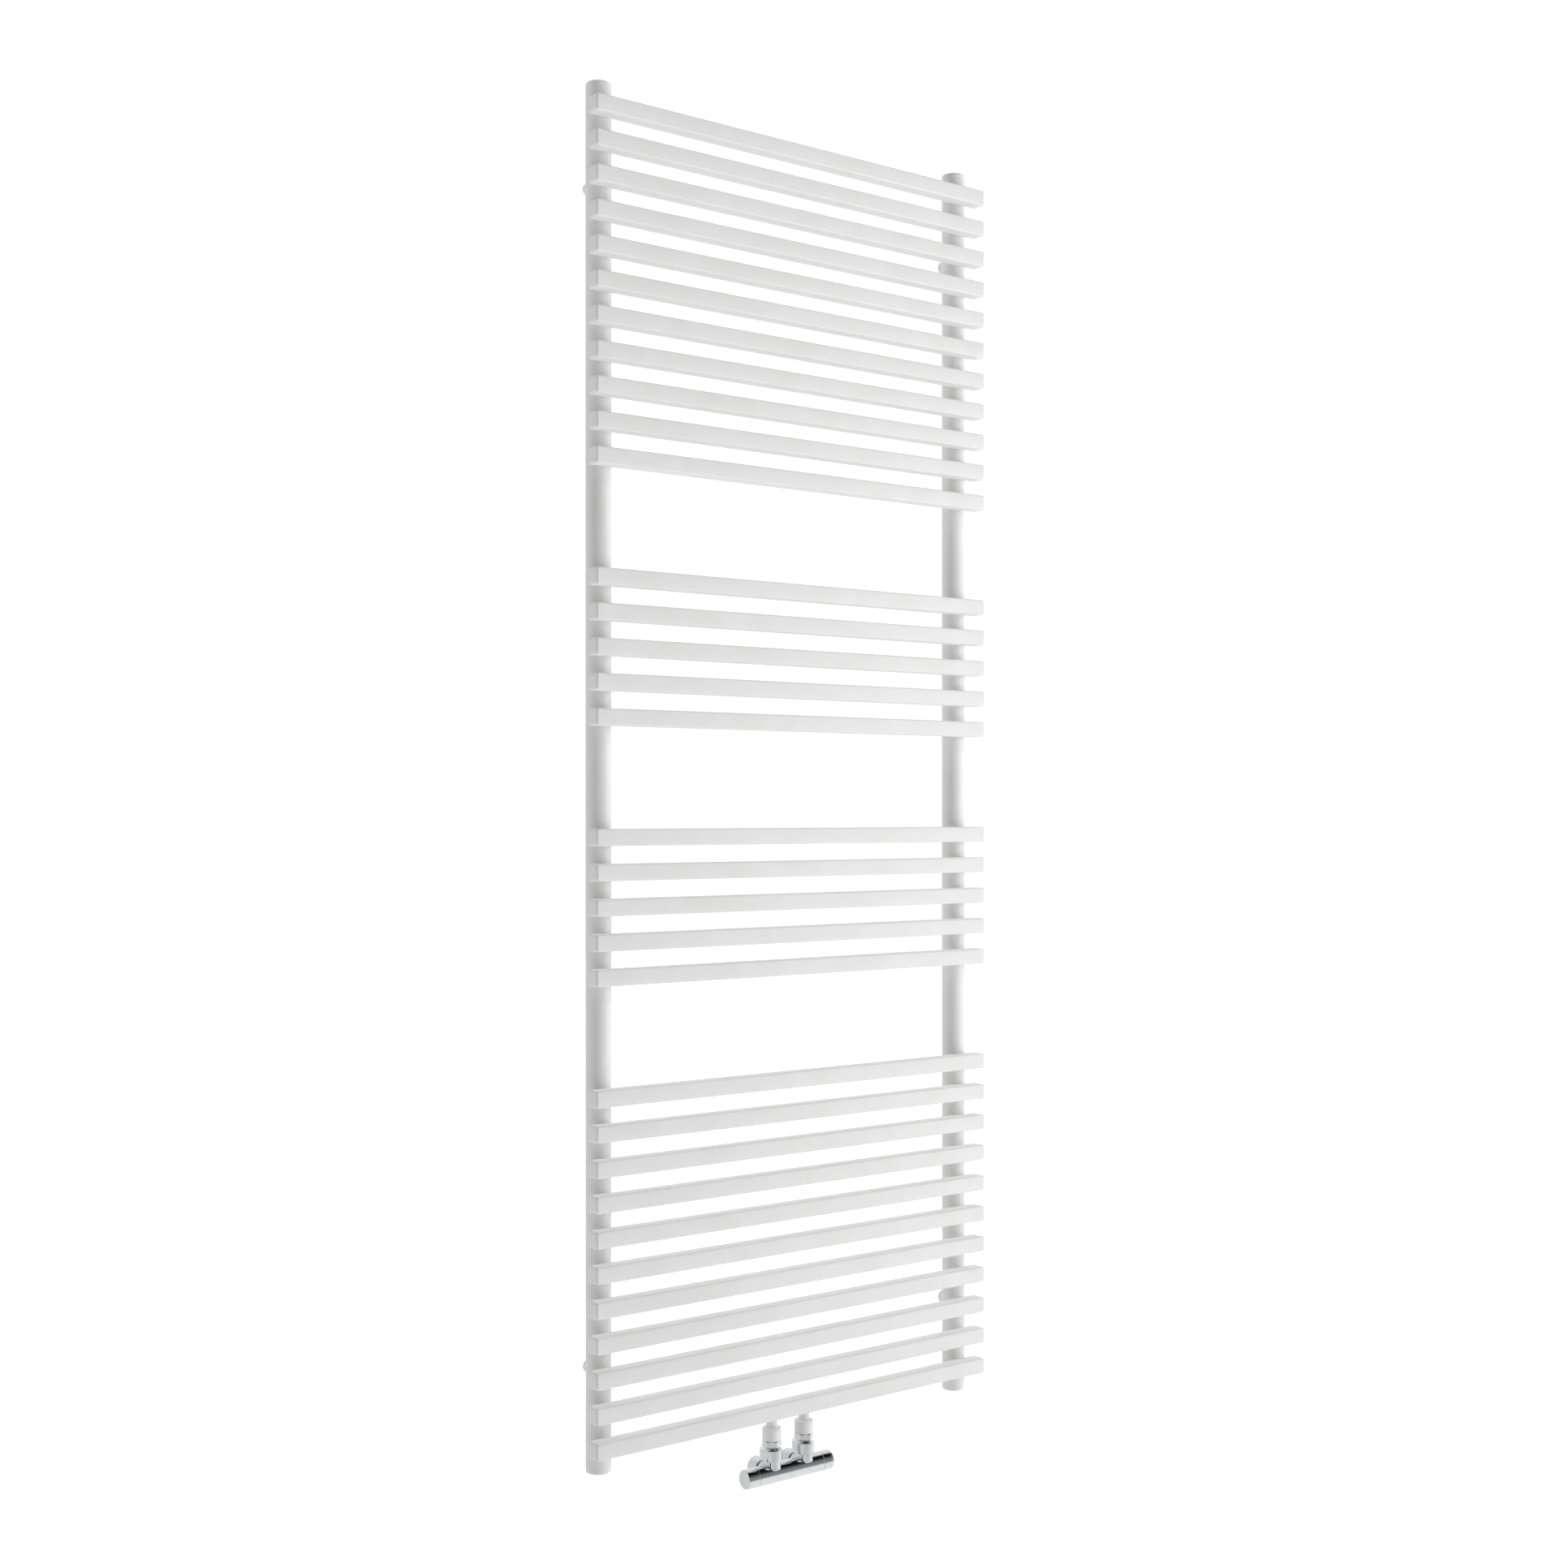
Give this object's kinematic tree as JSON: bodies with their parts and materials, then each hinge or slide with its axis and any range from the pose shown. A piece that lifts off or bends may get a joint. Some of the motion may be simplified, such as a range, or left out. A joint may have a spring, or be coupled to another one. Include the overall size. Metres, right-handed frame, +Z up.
{
  "type": "towel radiator",
  "caption": "White towel radiator of square bars on two round collectors, with a chrome twin valve on its centre connection.",
  "frame": {"origin": "under the middle of the width, in the plane of the two collector axes, at the height of the lowest point of the valve", "axes": "+X along the bars towards the right collector as seen from the front, -Y out of the front of the bars, +Y towards the wall, +Z up along the collectors"},
  "size_m": [0.6, 0.0693, 1.6636],
  "materials": {
    "white_enamel": "satin baked white powder coat",
    "chrome": "polished chrome plating",
    "brass": "machined brass",
    "stainless_steel": "turned stainless steel"
  },
  "bodies": {
    "radiator": {"bar_01": "white_enamel", "bar_02": "white_enamel", "bar_03": "white_enamel", "bar_04": "white_enamel", "bar_05": "white_enamel", "bar_06": "white_enamel", "bar_07": "white_enamel", "bar_08": "white_enamel", "bar_09": "white_enamel", "bar_10": "white_enamel", "bar_11": "white_enamel", "bar_12": "white_enamel", "bar_13": "white_enamel", "bar_14": "white_enamel", "bar_15": "white_enamel", "bar_16": "white_enamel", "bar_17": "white_enamel", "bar_18": "white_enamel", "bar_19": "white_enamel", "bar_20": "white_enamel", "bar_21": "white_enamel", "bar_22": "white_enamel", "bar_23": "white_enamel", "bar_24": "white_enamel", "bar_25": "white_enamel", "bar_26": "white_enamel", "bar_27": "white_enamel", "bar_28": "white_enamel", "bar_29": "white_enamel", "bar_30": "white_enamel", "bar_31": "white_enamel", "bar_32": "white_enamel", "collector_left": "white_enamel", "collector_right": "white_enamel", "collector_cap_top_left": "white_enamel", "collector_cap_bottom_left": "white_enamel", "collector_cap_top_right": "white_enamel", "collector_cap_bottom_right": "white_enamel", "bracket_boss_top_left": "white_enamel", "bracket_boss_bottom_left": "white_enamel", "bracket_boss_top_right": "white_enamel", "bracket_boss_bottom_right": "white_enamel", "feed_tube_left": "white_enamel", "feed_tube_right": "white_enamel", "connection_socket_left": "white_enamel", "connection_socket_right": "white_enamel", "valve_body": "chrome", "union_nut_left": "chrome", "union_nut_right": "chrome", "pipe_nut_left": "chrome", "pipe_nut_right": "chrome", "air_vent_body": "chrome", "union_tail_left": "brass", "union_tail_right": "brass", "flow_insert": "brass"},
    "flow_knob": {"flow_knob": "chrome"},
    "flow_pin": {"flow_pin": "stainless_steel"},
    "lockshield_knob": {"lockshield_knob": "chrome"},
    "lockshield_spindle": {"lockshield_spindle": "brass"},
    "vent_screw": {"air_vent_screw": "stainless_steel"}
  },
  "joints": [
    {"name": "flow_turn", "type": "hinge", "parent": "radiator", "child": "flow_knob", "pos_m": [-0.058, 0, 0.012], "axis": [-1, 0, 0], "range_deg": [0, 330]},
    {"name": "flow_lift", "type": "slide", "parent": "radiator", "child": "flow_pin", "axis": [-1, 0, 0], "range_m": [0, 0.0025]},
    {"name": "lockshield_turn", "type": "hinge", "parent": "radiator", "child": "lockshield_knob", "pos_m": [0.058, 0, 0.012], "axis": [1, 0, 0], "range_deg": [0, 330]},
    {"name": "lockshield_lift", "type": "slide", "parent": "radiator", "child": "lockshield_spindle", "axis": [1, 0, 0], "range_m": [0, 0.0025]},
    {"name": "vent_turn", "type": "hinge", "parent": "radiator", "child": "vent_screw", "pos_m": [0.276, 0.018, 1.6466], "axis": [0, 1, 0], "range_deg": [0, 180]}
  ],
  "couplings": [
    {"joint": "flow_lift", "follows": "flow_turn", "m_per_rad": 0.000434},
    {"joint": "lockshield_lift", "follows": "lockshield_turn", "m_per_rad": 0.000434}
  ]
}
